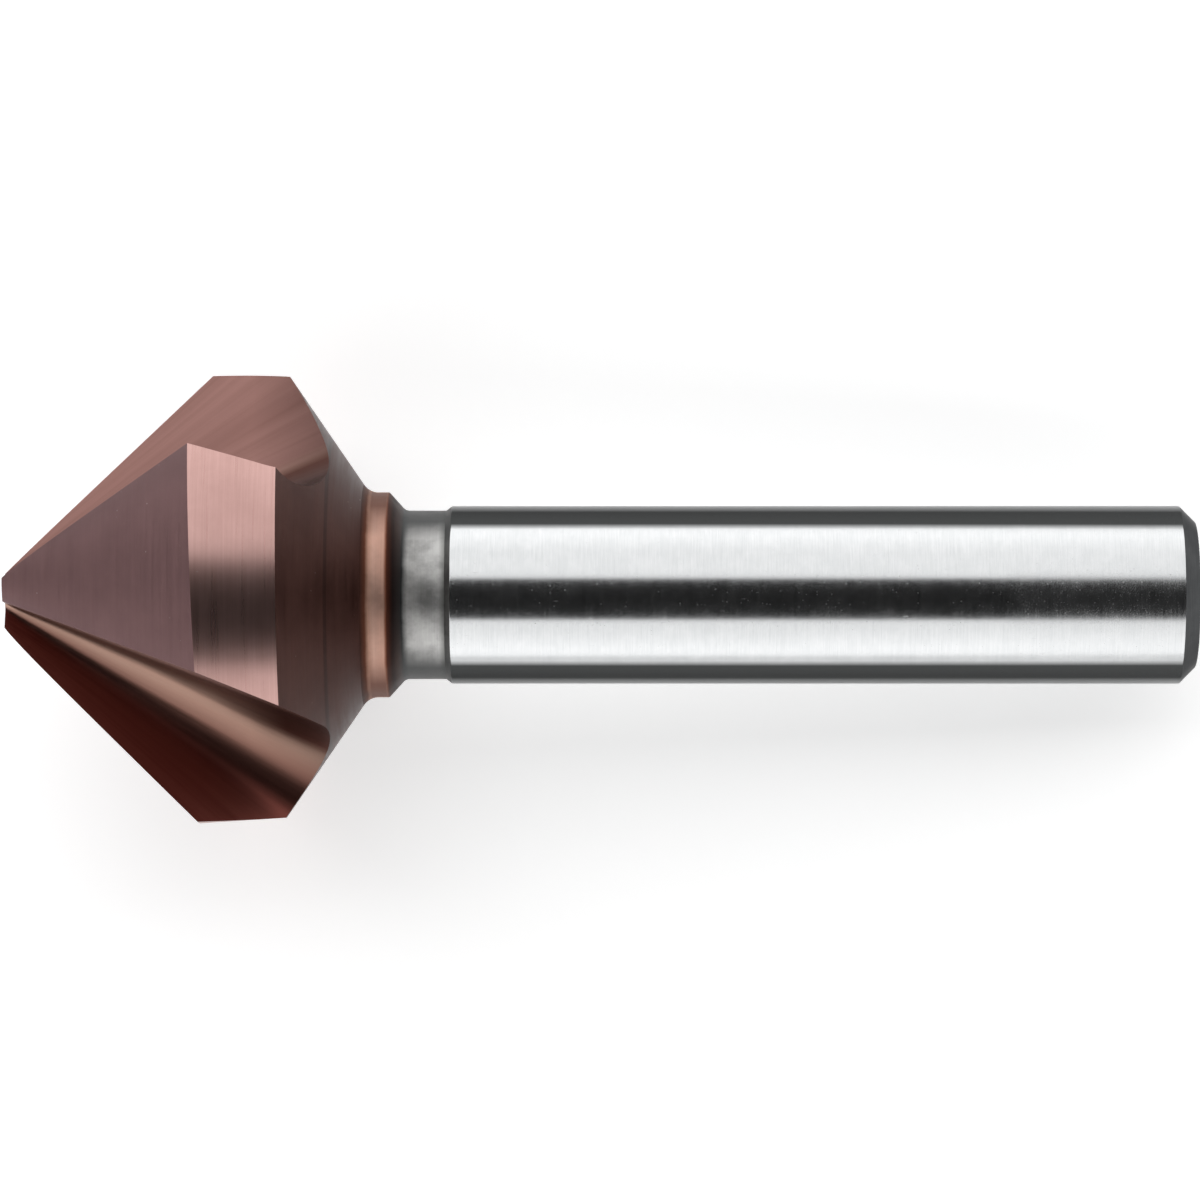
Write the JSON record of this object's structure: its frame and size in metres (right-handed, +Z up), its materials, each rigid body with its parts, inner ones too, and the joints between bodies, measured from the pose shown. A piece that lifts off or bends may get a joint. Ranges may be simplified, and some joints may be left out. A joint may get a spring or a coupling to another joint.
{
  "type": "countersink bit",
  "caption": "Countersink cutter with a 90 degree fluted cone, a relieved land, a collar and neck, and a plain straight shank.",
  "frame": {"origin": "centre of the underside of the bounding box, on the floor that the tool lies on", "axes": "+X along the tool from its tip to its shank, level with the floor; +Z up"},
  "size_m": [0.0672, 0.0254, 0.0242],
  "materials": {
    "tool_steel": "ground tool steel, the head with a dark violet-brown coating"
  },
  "bodies": {
    "root": {"countersink_bit": "tool_steel"}
  },
  "joints": []
}
